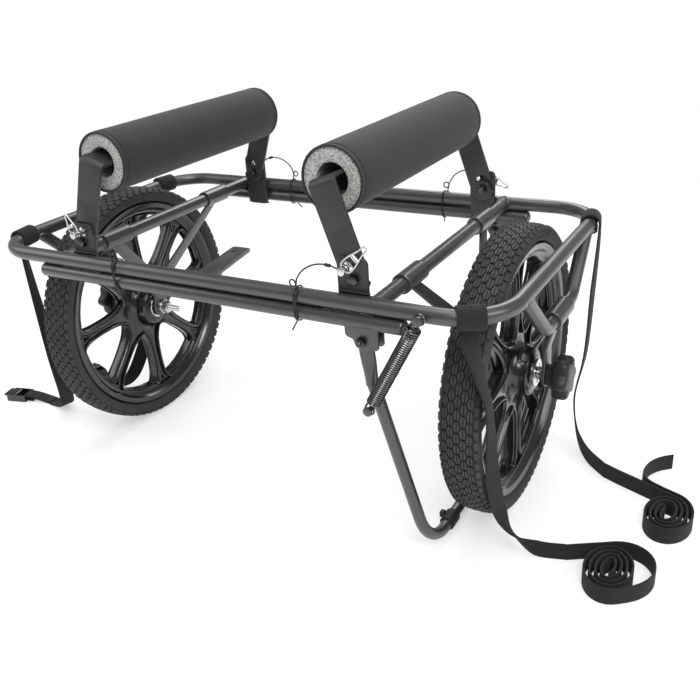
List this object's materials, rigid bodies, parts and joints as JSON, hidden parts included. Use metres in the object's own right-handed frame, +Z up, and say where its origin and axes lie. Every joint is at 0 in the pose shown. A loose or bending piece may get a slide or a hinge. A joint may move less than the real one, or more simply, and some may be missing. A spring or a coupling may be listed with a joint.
{
  "type": "kayak cart",
  "caption": "Two-wheeled kayak cart with a tubular frame, folding padded bunks held by lock pins, a folding sprung kickstand and tie-down straps.",
  "frame": {"origin": "on the floor, under the middle of the cart's frame", "axes": "+X towards the end with the kickstand, along the axles; +Y towards the rear, the way the boat points; +Z up"},
  "size_m": [1.2401, 0.4909, 0.5458],
  "materials": {
    "frame_paint": "satin black powder coat",
    "bracket_paint": "satin black powder coat, a little smoother",
    "zinc_steel": "bright zinc plate",
    "black_steel": "black oxide, slightly oiled",
    "black_plastic": "glossy moulded plastic",
    "tyre_rubber": "matte moulded rubber",
    "foot_rubber": "matte rubber",
    "pad_foam": "speckled closed-cell foam",
    "sleeve_fabric": "smooth stretch fabric",
    "webbing": "ribbed woven webbing"
  },
  "bodies": {
    "frame": {"upper_hoop": "frame_paint", "front_lower_rail": "frame_paint", "rear_lower_rail": "frame_paint", "tow_plate": "frame_paint", "inner_cross_tube_right": "frame_paint", "inner_cross_tube_left": "frame_paint", "inner_strut_right": "frame_paint", "inner_strut_left": "frame_paint", "drop_hoop_right": "frame_paint", "drop_hoop_left": "frame_paint", "outer_strut_right": "frame_paint", "outer_strut_left": "frame_paint", "bunk_bracket_front_right": "bracket_paint", "bunk_bracket_rear_right": "bracket_paint", "bunk_bracket_front_left": "bracket_paint", "bunk_bracket_rear_left": "bracket_paint", "axle_bolt_right": "zinc_steel", "axle_bolt_left": "zinc_steel", "bunk_pivot_bolt_front_right": "black_steel", "bunk_pivot_bolt_rear_right": "black_steel", "bunk_pivot_bolt_front_left": "black_steel", "bunk_pivot_bolt_rear_left": "black_steel", "kickstand_bolt_front": "black_steel", "kickstand_bolt_rear": "black_steel", "kickstand_spring": "black_steel", "lanyard_front_right": "black_steel", "lanyard_rear_right": "black_steel", "lanyard_front_left": "black_steel", "lanyard_rear_left": "black_steel", "buckle_left_front": "black_steel", "buckle_left_rear": "black_steel", "strap_left_front": "webbing", "strap_left_rear": "webbing", "strap_right_front": "webbing", "strap_right_rear": "webbing", "strap_coil_right_front": "webbing", "strap_coil_right_rear": "webbing"},
    "wheel_right": {"wheel_right": "black_plastic", "tyre_right": "tyre_rubber", "hub_bearing_right": "zinc_steel"},
    "wheel_left": {"wheel_left": "black_plastic", "tyre_left": "tyre_rubber", "hub_bearing_left": "zinc_steel"},
    "knob_right": {"knob_right": "black_plastic"},
    "knob_left": {"knob_left": "black_plastic"},
    "bunk_right": {"bunk_bar_right": "bracket_paint", "bunk_foam_right": "pad_foam", "bunk_sleeve_right": "sleeve_fabric"},
    "bunk_left": {"bunk_bar_left": "bracket_paint", "bunk_foam_left": "pad_foam", "bunk_sleeve_left": "sleeve_fabric"},
    "lock_pin_front_right": {"lock_pin_front_right": "zinc_steel"},
    "lock_pin_rear_right": {"lock_pin_rear_right": "zinc_steel"},
    "lock_pin_front_left": {"lock_pin_front_left": "zinc_steel"},
    "lock_pin_rear_left": {"lock_pin_rear_left": "zinc_steel"},
    "kickstand": {"kickstand": "frame_paint", "kickstand_foot_front": "foot_rubber", "kickstand_foot_rear": "foot_rubber"},
    "buckle_lever_left_front": {"buckle_lever_left_front": "zinc_steel"},
    "buckle_lever_left_rear": {"buckle_lever_left_rear": "zinc_steel"}
  },
  "joints": [
    {"name": "wheel_right_spin", "type": "hinge", "parent": "frame", "child": "wheel_right", "pos_m": [0.34, 0, 0.203], "axis": [1, 0, 0], "continuous": true},
    {"name": "wheel_left_spin", "type": "hinge", "parent": "frame", "child": "wheel_left", "pos_m": [-0.34, 0, 0.203], "axis": [-1, 0, 0], "continuous": true},
    {"name": "knob_right_turn", "type": "hinge", "parent": "frame", "child": "knob_right", "pos_m": [0.41, 0, 0.203], "axis": [1, 0, 0], "continuous": true},
    {"name": "knob_left_turn", "type": "hinge", "parent": "frame", "child": "knob_left", "pos_m": [-0.41, 0, 0.203], "axis": [-1, 0, 0], "continuous": true},
    {"name": "bunk_right_fold", "type": "hinge", "parent": "frame", "child": "bunk_right", "pos_m": [0.218, 0, 0.396], "axis": [0, -1, 0], "range_deg": [0, 90]},
    {"name": "bunk_left_fold", "type": "hinge", "parent": "frame", "child": "bunk_left", "pos_m": [-0.218, 0, 0.396], "axis": [0, 1, 0], "range_deg": [0, 90]},
    {"name": "lock_pin_front_right_pull", "type": "slide", "parent": "frame", "child": "lock_pin_front_right", "axis": [0, -1, 0], "range_m": [0, 0.025]},
    {"name": "lock_pin_rear_right_pull", "type": "slide", "parent": "frame", "child": "lock_pin_rear_right", "axis": [0, 1, 0], "range_m": [0, 0.025]},
    {"name": "lock_pin_front_left_pull", "type": "slide", "parent": "frame", "child": "lock_pin_front_left", "axis": [0, -1, 0], "range_m": [0, 0.025]},
    {"name": "lock_pin_rear_left_pull", "type": "slide", "parent": "frame", "child": "lock_pin_rear_left", "axis": [0, 1, 0], "range_m": [0, 0.025]},
    {"name": "kickstand_fold", "type": "hinge", "parent": "frame", "child": "kickstand", "pos_m": [0.234, 0, 0.327], "axis": [0, 1, 0], "range_deg": [0, 88], "stiffness_Nm_per_rad": 0.5, "springref_deg": -17.19, "deforming": ["kickstand_spring"]},
    {"name": "buckle_lever_left_front_lift", "type": "hinge", "parent": "frame", "child": "buckle_lever_left_front", "pos_m": [-0.61782, -0.09745, 0.0094], "axis": [-0.2419, 0.9703, 0], "range_deg": [0, 70]},
    {"name": "buckle_lever_left_rear_lift", "type": "hinge", "parent": "frame", "child": "buckle_lever_left_rear", "pos_m": [-0.55064, 0.04005, 0.0094], "axis": [0.342, 0.9397, 0], "range_deg": [0, 70]}
  ]
}
